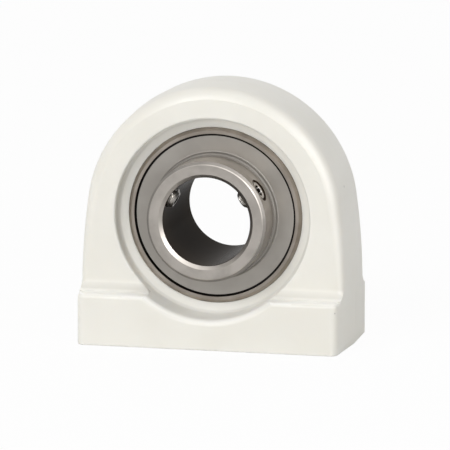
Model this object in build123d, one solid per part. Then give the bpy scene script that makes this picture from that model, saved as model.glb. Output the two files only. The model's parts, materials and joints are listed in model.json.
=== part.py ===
from build123d import *
import os
from math import asin, cos, hypot, radians, sin, sqrt, tan

# Tapped-base pillow block with a self-aligning insert ball bearing.
# Millimetres. +Z up, Y along the shaft, the long side of the inner ring towards -Y.
# The origin is the centre of the underside, below the centre of the balls.

# ---- Insert bearing: rings and balls ----
# The sizes build outward: shaft, collar, raceways, outer sphere, recess, crown.
SHAFT_RADIUS = 12.5           # bore of the inner ring
COLLAR_WALL = 4.5             # inner ring, bore to outside
INNER_RACE_DEPTH = 1.489      # raceway below the outside of the inner ring
OUTER_RACE_WALL = 2.511       # raceway to the sphere of the outer ring
INNER_LONG_SIDE = 19.8        # ball centre to the set-screw end
INNER_SHORT_SIDE = 14.3       # ball centre to the plain end
BALL_RADIUS = 3.969           # 5/16 inch balls
BALL_COUNT = 9
GROOVE_CONFORMITY = 1.04      # raceway groove radius over ball radius
BALL_PLAY = 0.02              # ball to raceway, each side
SHOULDER_SHARE = 0.41         # raceway depth over ball radius
RING_EDGE = 0.6               # chamfer of the outer ring's side edges
BORE_CHAMFER = 1.0
COLLAR_CHAMFER = 0.9
REAR_CHAMFER = 0.6

# ---- Insert bearing: cage ----
CAGE_SHEET = 0.8
CAGE_WIDTH = 2.6              # width of the ribbon across the pitch circle
POCKET_PLAY = 0.1
RIVET_RADIUS = 0.6
RIVET_HEAD_RADIUS = 1.1
RIVET_HEAD_HEIGHT = 0.4
RIVET_PLAY = 0.02

# ---- Insert bearing: seals and flingers ----
SEAL_ROOM_RISE = 1.208        # counterbore for seal and flinger, above the raceway's land
SEAL_TO_CAGE = 0.431          # cage caps to the start of the counterbore
SEAL_ROOM_DEPTH = 3.2         # along the shaft, to the side of the outer ring
SEAL_GROOVE_DEPTH = 0.45
SEAL_GROOVE_WIDTH = 0.9
SEAL_SHEET = 0.5
SEAL_FLANGE = 0.6             # bent edge of the seal plate
SEAL_GAP = 0.1                # seal plate to the ring round it
LIP_WIDTH = 1.6               # rubber lip, along the shaft
LIP_HEIGHT = 1.7              # rubber lip, across the shaft
LIP_PLAY = 0.05               # lip to inner ring
FLINGER_SHEET = 0.6
FLINGER_PLAY = 0.47           # flinger edge to outer ring
FLINGER_SINK = 0.5            # flinger face below the side of the outer ring
FLINGER_HUB_WALL = 0.8
FLINGER_HUB_LENGTH = 2.3      # from the back of the disc to the end of the hub
FLINGER_BEND = 0.45

# ---- Insert bearing: set screws and lubrication ----
SCREW_RADIUS = 3.0            # M6
SCREW_FROM_END = 5.0
SCREW_PLAY = 0.05
SCREW_TIP_CLEAR = 0.05        # point of the screw outside the bore
SCREW_SINK = 0.3              # end of the screw below the collar
SCREW_POINT_RADIUS = 2.1
SCREW_POINT_LENGTH = 0.8
SOCKET_ACROSS_FLATS = 3.0
SOCKET_DEPTH = 2.2
SCREW_ANGLES = {"right": 32.0, "left": 152.0}   # degrees up from +X
LUBE_GROOVE_WIDTH = 1.4
LUBE_GROOVE_DEPTH = 0.5
LUBE_HOLE_RADIUS = 0.6
LUBE_FROM_CENTRE = 4.4
LUBE_HOLE_COUNT = 2

# ---- Housing ----
CENTRE_HEIGHT = 36.5
RECESS_STEP = 1.8             # recess mouth outside the sphere, radially
RIM_WALL = 9.0                # recess mouth to the crown
FLANK_SPREAD = 1.25           # the flanks stand this far outside the crown radius
FLANK_UPRIGHT = 2.1           # upright part of the flanks, above the pads
BASE_WIDTH = 38.0
PAD_DEPTH = 5.75              # how far the base stands out past the arch, on average
PARTING_BACK = 1.2            # parting plane behind the ball plane; the arch is centred on it
PAD_HEIGHT = 15.4
DRAFT = 2.5                   # degrees, both ways from the parting plane
CROWN_ROUNDING = 4.5          # long edges of the arch: on top,
SHOULDER_ROUNDING = 3.4       # where the crown turns into the flanks,
FOOT_ROUNDING = 1.6           # and at the foot
RIM_BAND = 7.0                # depth of the outer band that carries this rounding
PAD_CORNER = 2.2
PAD_EDGE = 1.2
PAD_ROOT = 3.0
ROOT_AXIS_GAP = 0.1           # keeps the cove's section off the axis of its corner
FOOT_EDGE = 0.4
FOOT_SPARE = 5.0              # drawn below the underside, then cut off
SEAT_CLEARANCE = 0.05
SEAT_INSET = 0.8              # seat edge inside the side of the outer ring
RECESS_DRAFT = 1.0            # degrees
RECESS_ROOT = 1.2
LEDGE_RISE = 0.9              # slope of the ledge round the seat, along the shaft
PAD_MOUTH = 2.0               # rounding of the recess's rim on the faces of the pads
ARCH_MOUTH = 0.6              # and on the faces of the arch
MOUTH_REACH = 0.5             # the rim lies this near the recess radius
SLOT_PLAY = 0.3               # loading slots round the outer ring turned flat

# ---- Threaded inserts ----
BOLT_SPACING = 50.8
TAP_RADIUS = 4.25             # M10, tapping size
SEAT_TO_INSERT = 1.4675       # plastic between the seat and the top of an insert
TAP_POINT = 2.2               # drill point past the full depth
NUT_RADIUS = 6.5
NUT_FLOOR = 0.8               # closed end of the insert
NUT_GROOVE_DEPTH = 1.0
NUT_GROOVE_WIDTH = 3.0
NUT_CHAMFER = 0.8

# ---- Worked out from the sizes above ----
GROOVE_RADIUS = BALL_RADIUS * GROOVE_CONFORMITY
COLLAR_RADIUS = SHAFT_RADIUS + COLLAR_WALL
INNER_RACE = COLLAR_RADIUS - INNER_RACE_DEPTH
PITCH_RADIUS = INNER_RACE + BALL_RADIUS + BALL_PLAY
OUTER_RACE = PITCH_RADIUS + BALL_RADIUS + BALL_PLAY
OUTER_LAND = OUTER_RACE - SHOULDER_SHARE * BALL_RADIUS
SPHERE_RADIUS = OUTER_RACE + OUTER_RACE_WALL
CAP_RADIUS = BALL_RADIUS + POCKET_PLAY + CAGE_SHEET
SEAL_ROOM_START = CAP_RADIUS + SEAL_TO_CAGE
SEAL_ROOM_RADIUS = OUTER_LAND + SEAL_ROOM_RISE
RING_HALF = SEAL_ROOM_START + SEAL_ROOM_DEPTH
ARCH_WIDTH = BASE_WIDTH - 2 * PAD_DEPTH
ARCH_FRONT = PARTING_BACK - ARCH_WIDTH / 2
ARCH_REAR = PARTING_BACK + ARCH_WIDTH / 2
RECESS_RADIUS = SPHERE_RADIUS + RECESS_STEP
CROWN_RADIUS = RECESS_RADIUS + RIM_WALL
FOOT_HALF = CROWN_RADIUS + FLANK_SPREAD
FLANK_DROP = CENTRE_HEIGHT - PAD_HEIGHT - FLANK_UPRIGHT
SEAT_RADIUS = SPHERE_RADIUS + SEAT_CLEARANCE
SEAL_FACE = SEAL_ROOM_START + SEAL_GROOVE_WIDTH
NUT_LENGTH = CENTRE_HEIGHT - sqrt((SEAT_RADIUS + SEAT_TO_INSERT) ** 2 - (BOLT_SPACING / 2 - NUT_RADIUS) ** 2)
TAP_DEPTH = NUT_LENGTH - NUT_FLOOR - TAP_POINT
FLINGER_FACE = RING_HALF - FLINGER_SINK
FLINGER_RADIUS = SEAL_ROOM_RADIUS - FLINGER_PLAY
LIP_ROOT = COLLAR_RADIUS + LIP_PLAY + LIP_HEIGHT

CENTRE = Vector(0, 0, CENTRE_HEIGHT)
SHAFT = Axis(CENTRE, (0, 1, 0))
FRONT = Plane(origin=CENTRE, x_dir=(1, 0, 0), z_dir=(0, -1, 0))   # looks at the set-screw end
PARTING = Plane(origin=CENTRE + Vector(0, PARTING_BACK, 0), x_dir=(1, 0, 0), z_dir=(0, -1, 0))
SECTION = Plane(origin=CENTRE, x_dir=(1, 0, 0), z_dir=(0, 0, 1))  # local x is the radius, local y is Y

SAME = 0.001                  # places nearer than this are the same
FROM_BASE = (Align.CENTER, Align.CENTER, Align.MIN)


def turned(*edges):
    """A closed profile in radius and Y, turned about the shaft."""
    return revolve(SECTION * make_face(Wire(list(edges))), axis=SHAFT)


def turned_points(*points):
    return revolve(SECTION * make_face(Polyline(*points, close=True)), axis=SHAFT)


def other_side(part):
    """The same piece on the other side of the balls."""
    return mirror(part, about=Plane.XZ)


def arc_point(centre, radius, angle):
    return (centre[0] + radius * cos(angle), centre[1] + radius * sin(angle))


def arc(centre, radius, start, end):
    middle = (start + end) / 2
    return ThreePointArc(
        arc_point(centre, radius, start),
        arc_point(centre, radius, middle),
        arc_point(centre, radius, end),
    )


# ---- Housing ----
def right_side():
    """The arch's outer line on the right: foot, end of the foot, flank, shoulder, crown and top."""
    flank_radius = (FLANK_DROP**2 + FOOT_HALF**2 - CROWN_RADIUS**2) / (2 * FLANK_SPREAD)
    lean = asin(FLANK_DROP / (flank_radius - CROWN_RADIUS))
    flank_centre = (FOOT_HALF - flank_radius, -FLANK_DROP)
    low = (FOOT_HALF, -CENTRE_HEIGHT - FOOT_SPARE)
    foot = (FOOT_HALF, -FLANK_DROP)
    flank = arc_point(flank_centre, flank_radius, lean / 2)
    shoulder = arc_point((0, 0), CROWN_RADIUS, lean)
    crown = arc_point((0, 0), CROWN_RADIUS, (lean + radians(90)) / 2)
    return low, foot, flank, shoulder, crown, (0, CROWN_RADIUS)


def arch_line():
    """The outer line in the parting plane, up the right side and down the left."""
    low, foot, flank, shoulder, crown, top = right_side()
    left_low, left_foot, left_flank, left_shoulder, left_crown, _ = [(-x, y) for x, y in right_side()]
    line = [
        Line(low, foot),
        ThreePointArc(foot, flank, shoulder),
        ThreePointArc(shoulder, crown, top),
        ThreePointArc(top, left_crown, left_shoulder),
        ThreePointArc(left_shoulder, left_flank, left_foot),
        Line(left_foot, left_low),
    ]
    return PARTING * Wire([piece.edge() for piece in line])


def rim_section(point, rounding):
    """The band's section at a point of the outer line, with draft both ways and rounded long edges."""
    outward = Vector(point[0], max(point[1], 0)).normalized()
    half = ARCH_WIDTH / 2
    inset = half * tan(radians(DRAFT))
    section = make_face(
        Polyline((0, 0), (-inset, half), (-RIM_BAND, half), (-RIM_BAND, -half), (-inset, -half), close=True)
    )
    outer = [corner for corner in section.vertices() if abs(corner.X + inset) < SAME]
    section = fillet(outer, rounding)
    place = Plane(origin=point, x_dir=outward, z_dir=Vector(-outward.Y, outward.X))
    return (PARTING * place * section).face()


def arch():
    """A band swept over the crown, with a rounding that grows towards the top, and the core inside it."""
    low, foot, _, shoulder, _, top = right_side()
    points = (low, foot, shoulder, top)
    roundings = (FOOT_ROUNDING, FOOT_ROUNDING, SHOULDER_ROUNDING, CROWN_ROUNDING)
    right = [rim_section(point, rounding) for point, rounding in zip(points, roundings)]
    left = [mirror(section, about=Plane.YZ) for section in right[-2::-1]]
    line = arch_line()
    band = sweep(sections=right + left, path=line, multisection=True)
    inside = offset(make_face(Wire([*line.edges(), Line(line @ 1, line @ 0).edge()])), -RIM_BAND / 2)
    core = extrude(inside, ARCH_WIDTH / 2, both=True)
    return band + core


def base_block(top):
    """A block as long and wide as the base, with draft to both sides of the parting plane."""
    shape = Rectangle(2 * FOOT_HALF, top + FOOT_SPARE, align=(Align.CENTER, Align.MAX))
    shape = PARTING * Pos(0, top - CENTRE_HEIGHT) * shape
    front = extrude(shape, BASE_WIDTH / 2 + PARTING_BACK, taper=DRAFT)
    return front + extrude(shape, BASE_WIDTH / 2 - PARTING_BACK, dir=(0, 1, 0), taper=DRAFT)


def pads():
    """The base, deeper than the arch, so that a pad stands out in front and behind."""
    body = base_block(PAD_HEIGHT)
    corners = [
        edge
        for edge in body.edges()
        if abs(edge.center().Y) > BASE_WIDTH / 2 - 1 and abs(edge.tangent_at(0.5).Z) > 0.9
    ]
    body = fillet(corners, PAD_CORNER)
    lowest_top = PAD_HEIGHT - (BASE_WIDTH / 2 + PARTING_BACK + 1) * tan(radians(DRAFT))
    tops = [
        edge
        for edge in body.edges()
        if edge.center().Z > lowest_top and abs(edge.length - 2 * FOOT_HALF) > SAME
    ]
    return fillet(tops, PAD_EDGE)


def bearing_room():
    """The spherical seat, and the recess in front of it and behind it."""
    seat_edge = RING_HALF - SEAT_INSET
    seat_edge_radius = sqrt(SEAT_RADIUS**2 - seat_edge**2)
    ledge = seat_edge + LEDGE_RISE
    wall_foot = RECESS_RADIUS - (-ARCH_FRONT - ledge) * tan(radians(RECESS_DRAFT))
    wall_end = wall_foot + (BASE_WIDTH / 2 - ledge) * tan(radians(RECESS_DRAFT))
    outside = BASE_WIDTH / 2 + 1
    reach = asin(seat_edge / SEAT_RADIUS)
    edges = [arc((0, 0), SEAT_RADIUS, -reach, reach), Line((0, -outside), (0, outside))]
    for side in (1, -1):
        ledge_and_wall = FilletPolyline(
            (seat_edge_radius, side * seat_edge),
            (wall_foot, side * ledge),
            (wall_end, side * BASE_WIDTH / 2),
            (wall_end + 2 * PAD_MOUTH, side * BASE_WIDTH / 2),
            (wall_end + 2 * PAD_MOUTH, side * outside),
            (0, side * outside),
            radius=(RECESS_ROOT, PAD_MOUTH, 0, 0),
        )
        edges += ledge_and_wall.edges()
    return turned(*edges)


def loading_slots():
    """Two notches at the rear, where the outer ring goes in turned flat."""
    depth = BASE_WIDTH / 2 + 1
    way_in = FRONT * extrude(Circle(SEAT_RADIUS + SLOT_PLAY), -depth)
    flat = Box(3 * SEAT_RADIUS, 3 * depth, 2 * (RING_HALF + SLOT_PLAY))
    return way_in & (Pos(CENTRE) * flat)


def nut_outline():
    """The outside of a threaded insert, with the groove that the plastic grips."""
    groove_start = (NUT_LENGTH - NUT_GROOVE_WIDTH) / 2
    groove_end = groove_start + NUT_GROOVE_WIDTH
    groove_radius = NUT_RADIUS - NUT_GROOVE_DEPTH
    return [
        (NUT_RADIUS, 0),
        (NUT_RADIUS, groove_start),
        (groove_radius, groove_start),
        (groove_radius, groove_end),
        (NUT_RADIUS, groove_end),
        (NUT_RADIUS, NUT_LENGTH - NUT_CHAMFER),
        (NUT_RADIUS - NUT_CHAMFER, NUT_LENGTH),
        (0, NUT_LENGTH),
    ]


def upright(points, side):
    """A profile in radius and height, turned about a bolt's axis."""
    turned_part = revolve(Plane.XZ * make_face(Polyline(*points, close=True)), axis=Axis.Z)
    return Pos(side * BOLT_SPACING / 2, 0, 0) * turned_part


def threaded_insert(side):
    tapped = [
        (0, TAP_DEPTH + TAP_POINT),
        (TAP_RADIUS, TAP_DEPTH),
        (TAP_RADIUS, NUT_CHAMFER),
        (TAP_RADIUS + NUT_CHAMFER, 0),
    ]
    return upright(nut_outline() + tapped, side)


def mouth_edges(body):
    """The recess's rim on the arch's two faces."""
    rim = []
    for edge in body.edges():
        middle = edge.position_at(0.5)
        off_face = min(abs(middle.Y - ARCH_FRONT), abs(middle.Y - ARCH_REAR))
        off_wall = abs(hypot(middle.X, middle.Z - CENTRE_HEIGHT) - RECESS_RADIUS)
        if off_face < SAME and off_wall < MOUTH_REACH:
            rim.append(edge)
    return rim


def pad_root(side):
    """The cove between a face of the arch and the top of its pad, carried round the arch's corners."""
    slope = tan(radians(DRAFT))
    foot_y = PARTING_BACK + side * (ARCH_WIDTH / 2 - FOOT_ROUNDING)
    foot_z = PAD_HEIGHT - ARCH_WIDTH / 2 * slope
    near = FOOT_ROUNDING
    far = near + PAD_ROOT
    middle = arc_point((far, PAD_ROOT), PAD_ROOT, radians(225))
    hollow = ThreePointArc((near, PAD_ROOT), middle, (far, 0))
    axis = ROOT_AXIS_GAP
    back = Polyline((far, 0), (far, -PAD_ROOT), (axis, -PAD_ROOT), (axis, PAD_ROOT), (near, PAD_ROOT))
    profile = make_face(Wire([hollow.edge(), *back.edges()]))
    corner_x = FOOT_HALF - ARCH_WIDTH / 2 * slope - FOOT_ROUNDING
    cove = None
    for end in (-1, 1):
        corner = Vector(end * corner_x, foot_y, foot_z)
        section = Plane(origin=corner, x_dir=(0, side, 0), z_dir=(side, 0, 0)) * profile
        turn = revolve(section, axis=Axis(corner, (0, 0, -side * end)), revolution_arc=90)
        run = extrude(section, corner_x, dir=(-end, 0, 0))
        cove = turn + run if cove is None else cove + turn + run
    return cove & base_block(PAD_HEIGHT + 2 * PAD_ROOT)


def housing():
    body = arch() + pads() + pad_root(-1) + pad_root(1)
    body = split(body, bisect_by=Plane.XY, keep=Keep.TOP)
    soles = [edge for edge in body.edges() if abs(edge.center().Z) < SAME]
    body = fillet(soles, FOOT_EDGE)
    body -= bearing_room()
    body = fillet(mouth_edges(body), ARCH_MOUTH)
    body -= loading_slots()
    for side in (-1, 1):
        body -= upright([(0, 0), *nut_outline()], side)
    return body


# ---- Rings ----
def raceway(bottom_radius, land_radius, outward):
    """A groove's arc in the section, from its front edge to its rear edge."""
    centre = bottom_radius - outward * GROOVE_RADIUS
    half = sqrt(GROOVE_RADIUS**2 - (land_radius - centre) ** 2)
    return ThreePointArc((land_radius, -half), (bottom_radius, 0), (land_radius, half)), half


def outer_ring():
    shoulder = RING_HALF - RING_EDGE
    reach = asin(shoulder / SPHERE_RADIUS)
    sphere_edge = SPHERE_RADIUS * cos(reach)
    side_radius = sqrt(SPHERE_RADIUS**2 - RING_HALF**2) - RING_EDGE
    groove, half = raceway(OUTER_RACE, OUTER_LAND, 1)
    edges = [arc((0, 0), SPHERE_RADIUS, -reach, reach), groove]
    for side in (1, -1):
        points = [
            (sphere_edge, shoulder),
            (side_radius, RING_HALF),
            (SEAL_ROOM_RADIUS, RING_HALF),
            (SEAL_ROOM_RADIUS, SEAL_FACE),
            (SEAL_ROOM_RADIUS + SEAL_GROOVE_DEPTH, SEAL_FACE),
            (SEAL_ROOM_RADIUS + SEAL_GROOVE_DEPTH, SEAL_ROOM_START),
            (OUTER_LAND, SEAL_ROOM_START),
            (OUTER_LAND, half),
        ]
        edges += Polyline(*[(radius, side * along) for radius, along in points]).edges()
    ring = turned(*edges)
    groove_side = LUBE_GROOVE_WIDTH / 2
    floor = sqrt(SPHERE_RADIUS**2 - LUBE_FROM_CENTRE**2) - LUBE_GROOVE_DEPTH
    ring -= turned_points(
        (floor, LUBE_FROM_CENTRE - groove_side),
        (SPHERE_RADIUS + 1, LUBE_FROM_CENTRE - groove_side),
        (SPHERE_RADIUS + 1, LUBE_FROM_CENTRE + groove_side),
        (floor, LUBE_FROM_CENTRE + groove_side),
    )
    for turn in range(LUBE_HOLE_COUNT):
        drill = radial(turn * 360 / LUBE_HOLE_COUNT, LUBE_FROM_CENTRE, 0)
        ring -= drill * Cylinder(LUBE_HOLE_RADIUS, SPHERE_RADIUS + 1, align=FROM_BASE)
    return ring


def radial(angle, along, radius):
    """A plane at a radius from the shaft, facing outward at an angle up from +X."""
    outward = Vector(cos(radians(angle)), 0, sin(radians(angle)))
    origin = CENTRE + outward * radius + Vector(0, along, 0)
    return Plane(origin=origin, x_dir=(0, 1, 0), z_dir=outward)


def inner_ring():
    groove, half = raceway(INNER_RACE, COLLAR_RADIUS, -1)
    outline = Polyline(
        (COLLAR_RADIUS, half),
        (COLLAR_RADIUS, INNER_SHORT_SIDE - REAR_CHAMFER),
        (COLLAR_RADIUS - REAR_CHAMFER, INNER_SHORT_SIDE),
        (SHAFT_RADIUS + REAR_CHAMFER, INNER_SHORT_SIDE),
        (SHAFT_RADIUS, INNER_SHORT_SIDE - REAR_CHAMFER),
        (SHAFT_RADIUS, BORE_CHAMFER - INNER_LONG_SIDE),
        (SHAFT_RADIUS + BORE_CHAMFER, -INNER_LONG_SIDE),
        (COLLAR_RADIUS - COLLAR_CHAMFER, -INNER_LONG_SIDE),
        (COLLAR_RADIUS, COLLAR_CHAMFER - INNER_LONG_SIDE),
        (COLLAR_RADIUS, -half),
    )
    ring = turned(groove, *outline.edges())
    for angle in SCREW_ANGLES.values():
        hole = Cylinder(SCREW_RADIUS + SCREW_PLAY, COLLAR_RADIUS, align=FROM_BASE)
        ring -= radial(angle, SCREW_FROM_END - INNER_LONG_SIDE, SHAFT_RADIUS / 2) * hole
    return ring


def set_screw(angle):
    """A socket set screw with a cup point, its point just outside the bore."""
    tip = SHAFT_RADIUS + SCREW_TIP_CLEAR
    length = COLLAR_RADIUS - SCREW_SINK - tip
    rim = SCREW_RADIUS - SCREW_POINT_RADIUS
    profile = Polyline(
        (0, SCREW_POINT_LENGTH),
        (SCREW_POINT_RADIUS, 0),
        (SCREW_RADIUS, rim),
        (SCREW_RADIUS, length - rim / 3),
        (SCREW_RADIUS - rim / 3, length),
        (0, length),
        close=True,
    )
    screw = revolve(Plane.XZ * make_face(profile), axis=Axis.Z)
    socket = extrude(RegularPolygon(SOCKET_ACROSS_FLATS / 2, 6, major_radius=False), SOCKET_DEPTH)
    screw -= Pos(0, 0, length - SOCKET_DEPTH) * socket
    return radial(angle, SCREW_FROM_END - INNER_LONG_SIDE, tip) * screw


# ---- Balls and cage ----
def ball_place(number, half_step=0):
    angle = 90 + (number + half_step / 2) * 360 / BALL_COUNT
    return radial(angle, 0, PITCH_RADIUS)


def ball(number):
    return ball_place(number) * Sphere(BALL_RADIUS)


def cage_half():
    """A pressed ribbon: a cap over each ball, and flats between them for the rivets."""
    inside = PITCH_RADIUS - CAGE_WIDTH / 2
    outside = PITCH_RADIUS + CAGE_WIDTH / 2
    ribbon = turned_points((inside, 0), (outside, 0), (outside, CAGE_SHEET), (inside, CAGE_SHEET))
    band = turned_points((inside, 0), (outside, 0), (outside, CAP_RADIUS), (inside, CAP_RADIUS))
    for number in range(BALL_COUNT):
        ribbon += band & (ball_place(number) * Sphere(CAP_RADIUS))
    for number in range(BALL_COUNT):
        ribbon -= ball_place(number) * Sphere(CAP_RADIUS - CAGE_SHEET)
        ribbon -= along_shaft(ball_place(number, 1), RIVET_RADIUS, 3 * CAGE_SHEET)
    return ribbon


def along_shaft(place, radius, length):
    """A pin parallel to the shaft, centred on the plane of the balls."""
    pin = Cylinder(radius, length)
    return Plane(origin=place.origin, x_dir=(1, 0, 0), z_dir=(0, 1, 0)) * pin


def cage_rivets():
    """One rivet between each pair of balls, its two heads outside the two halves."""
    shank = RIVET_RADIUS - RIVET_PLAY
    top = CAGE_SHEET + RIVET_HEAD_HEIGHT
    profile = Polyline(
        (0, -top),
        (RIVET_HEAD_RADIUS, -top),
        (RIVET_HEAD_RADIUS, -CAGE_SHEET),
        (shank, -CAGE_SHEET),
        (shank, CAGE_SHEET),
        (RIVET_HEAD_RADIUS, CAGE_SHEET),
        (RIVET_HEAD_RADIUS, top),
        (0, top),
        close=True,
    )
    rivet = revolve(Plane.XY * make_face(profile), axis=Axis.Y)
    places = [ball_place(number, 1).origin for number in range(BALL_COUNT)]
    return Compound(children=[Pos(place) * rivet.solid() for place in places])


# ---- Seals and flingers, drawn for the rear side ----
def seal_plate():
    start = SEAL_ROOM_START + SEAL_GAP
    face = start + SEAL_SHEET
    flange_outside = SEAL_ROOM_RADIUS - SEAL_GAP
    flange_inside = flange_outside - SEAL_SHEET
    return turned_points(
        (LIP_ROOT, start),
        (SEAL_ROOM_RADIUS + SEAL_GROOVE_DEPTH - SEAL_GAP / 2, start),
        (SEAL_ROOM_RADIUS + SEAL_GROOVE_DEPTH - SEAL_GAP / 2, face),
        (flange_outside, face),
        (flange_outside, face + SEAL_FLANGE),
        (flange_inside, face + SEAL_FLANGE),
        (flange_inside, face),
        (LIP_ROOT, face),
    )


def seal_lip():
    """Rubber moulded round the inner edge of the seal plate."""
    start = SEAL_ROOM_START + SEAL_GAP
    face = start + SEAL_SHEET
    inside = COLLAR_RADIUS + LIP_PLAY
    skin = SEAL_SHEET * 0.7
    return turned_points(
        (inside, start + skin),
        (inside + skin, start),
        (LIP_ROOT, start),
        (LIP_ROOT, face),
        (LIP_ROOT + 2 * SEAL_SHEET, face),
        (LIP_ROOT + 2 * SEAL_SHEET - skin / 2, face + skin),
        (LIP_ROOT - skin, face + skin),
        (inside + 2 * skin, start + LIP_WIDTH),
        (inside, start + LIP_WIDTH - skin),
    )


def flinger():
    """A disc with a hub, pressed on to the inner ring outside the seal."""
    back = FLINGER_FACE - FLINGER_SHEET
    hub_radius = COLLAR_RADIUS + FLINGER_HUB_WALL
    hub_end = back + FLINGER_HUB_LENGTH
    round_end = FLINGER_HUB_WALL / 2
    section = make_face(
        Polyline(
            (COLLAR_RADIUS, back),
            (FLINGER_RADIUS, back),
            (FLINGER_RADIUS, FLINGER_FACE),
            (hub_radius, FLINGER_FACE),
            (hub_radius, hub_end),
            (COLLAR_RADIUS, hub_end),
            close=True,
        )
    )
    corners = section.vertices()
    section = fillet(corners.sort_by_distance((hub_radius, FLINGER_FACE))[0], FLINGER_BEND)
    section = fillet(section.vertices().sort_by_distance((hub_radius, hub_end))[0], round_end)
    return revolve(SECTION * section, axis=SHAFT)


def write(name, part):
    part.label = name
    export_step(part, f"parts/{name}.step")


def main():
    os.makedirs("parts", exist_ok=True)
    write("housing", housing())
    for name, side in (("left", -1), ("right", 1)):
        write(f"threaded_insert_{name}", threaded_insert(side))
        write(f"set_screw_{name}", set_screw(SCREW_ANGLES[name]))
    write("outer_ring", outer_ring())
    write("inner_ring", inner_ring())
    for number in range(BALL_COUNT):
        write(f"ball_{number + 1}", ball(number))
    write("cage_rivets", cage_rivets())
    for name, maker in (
        ("cage", cage_half),
        ("seal_plate", seal_plate),
        ("seal_lip", seal_lip),
        ("flinger", flinger),
    ):
        rear = maker()
        write(f"{name}_rear", rear)
        write(f"{name}_front", other_side(rear))


main()
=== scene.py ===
# %% [markdown]
# # A pillow block bearing, dressed for a picture
# A moulded white housing holds a steel ball bearing in a spherical seat, and two set screws lock the
# bearing's inner ring to a shaft. The solids arrive packed, with their bodies and joints, so this script
# adds what solids leave out: threads, sockets, finishes, light and a camera.
# Every length is in metres and every piece is made where it belongs, with its object at the origin.

# %% Load the solids
import json
from math import cos, pi, radians, sin, tau

import bmesh
import bpy
from mathutils import Matrix, Vector


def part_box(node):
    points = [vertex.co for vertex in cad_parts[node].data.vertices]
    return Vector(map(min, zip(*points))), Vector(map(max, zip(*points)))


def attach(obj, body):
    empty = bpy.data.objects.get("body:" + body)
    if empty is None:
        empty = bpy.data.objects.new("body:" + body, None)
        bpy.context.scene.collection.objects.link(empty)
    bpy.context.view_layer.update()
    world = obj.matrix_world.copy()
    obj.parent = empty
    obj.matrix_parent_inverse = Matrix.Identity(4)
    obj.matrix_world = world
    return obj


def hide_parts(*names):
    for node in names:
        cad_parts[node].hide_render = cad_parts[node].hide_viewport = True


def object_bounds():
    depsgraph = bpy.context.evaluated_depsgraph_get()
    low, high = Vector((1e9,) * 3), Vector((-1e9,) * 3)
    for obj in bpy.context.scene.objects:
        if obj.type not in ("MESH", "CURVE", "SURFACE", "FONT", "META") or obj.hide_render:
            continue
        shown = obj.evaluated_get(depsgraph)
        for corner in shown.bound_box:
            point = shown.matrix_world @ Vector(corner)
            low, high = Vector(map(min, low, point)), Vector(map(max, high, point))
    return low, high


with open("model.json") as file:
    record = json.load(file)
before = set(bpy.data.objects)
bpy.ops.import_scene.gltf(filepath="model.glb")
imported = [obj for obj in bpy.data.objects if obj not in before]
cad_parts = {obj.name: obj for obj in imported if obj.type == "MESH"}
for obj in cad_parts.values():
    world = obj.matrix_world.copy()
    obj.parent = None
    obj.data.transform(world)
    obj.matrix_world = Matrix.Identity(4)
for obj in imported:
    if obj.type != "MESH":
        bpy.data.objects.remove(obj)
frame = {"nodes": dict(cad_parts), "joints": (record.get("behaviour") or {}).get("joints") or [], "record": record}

solid_low, solid_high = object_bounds()
nodes = frame["nodes"]

# %% [markdown]
# ## Sizes that the finishes need
# A finish made by arithmetic has to know where the shaft is and how large the rings are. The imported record
# says where the bore lies, and a solid's box gives the rest, so nothing is typed twice and a changed part
# still gets its marks in the right places.

# %% Sizes from the record and the boxes
MM = 0.001
SIDES = ("left", "right")
mounts = {mount["name"]: mount for mount in frame["record"]["mounts"]}
joints = {joint["name"]: joint for joint in frame["joints"]}
SHAFT_HEIGHT = mounts["shaft_bore"]["pos_m"][2]
BORE_RADIUS = mounts["shaft_bore"]["dims"]["r_mm"] * MM
TAP_RADIUS = mounts["thread_left"]["dims"]["r_mm"] * MM


def extent(node):
    """The size of a solid's box."""
    low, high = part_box(node)
    return high - low


COLLAR_RADIUS = extent("inner_ring").x / 2
FLINGER_RADIUS = extent("flinger_front").x / 2
SPHERE_RADIUS = extent("outer_ring").x / 2
CROWN_RADIUS = solid_high.z - SHAFT_HEIGHT
SCREW_OUTWARD = {side: -Vector(joints[f"set_screw_{side}_travel"]["axis"]) for side in SIDES}
SCREW_ALONG_SHAFT = sum(corner.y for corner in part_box("set_screw_left")) / 2
print(f"shaft at {SHAFT_HEIGHT / MM:.1f} mm, bore {2 * BORE_RADIUS / MM:.1f} mm, "
      f"collar {2 * COLLAR_RADIUS / MM:.1f} mm, outer ring {2 * SPHERE_RADIUS / MM:.1f} mm")

# %% [markdown]
# ## The camera
# A long lens from 2.7 metres away keeps the two ends of the bearing almost equally large, as in a
# catalogue. The camera looks at a point just below the shaft's axis, from a little to the right and a
# little above. It could be turned by Euler angles, but a matrix made of its own three directions also
# takes the slight roll, without any thought about the order of the angles.

# %% Camera
CAMERA_AZIMUTH = radians(13.2)
CAMERA_ELEVATION = radians(10.46)
CAMERA_ROLL = radians(-0.13)
CAMERA_DISTANCE = 2.676
CLIP_END = 20
FOCAL_PIXELS = 9563.0
PICTURE_WIDTH = 450
SENSOR_WIDTH = 36.0
LOOK_AT = Vector((0.95, 0, SHAFT_HEIGHT / MM - 4.21)) * MM


def camera_axes():
    """Right, up and back of the camera, as unit vectors."""
    back = Vector((
        sin(CAMERA_AZIMUTH) * cos(CAMERA_ELEVATION),
        -cos(CAMERA_AZIMUTH) * cos(CAMERA_ELEVATION),
        sin(CAMERA_ELEVATION),
    ))
    level = Vector((cos(CAMERA_AZIMUTH), sin(CAMERA_AZIMUTH), 0))
    upright = back.cross(level)
    right = level * cos(CAMERA_ROLL) - upright * sin(CAMERA_ROLL)
    up = level * sin(CAMERA_ROLL) + upright * cos(CAMERA_ROLL)
    return right, up, back


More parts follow.
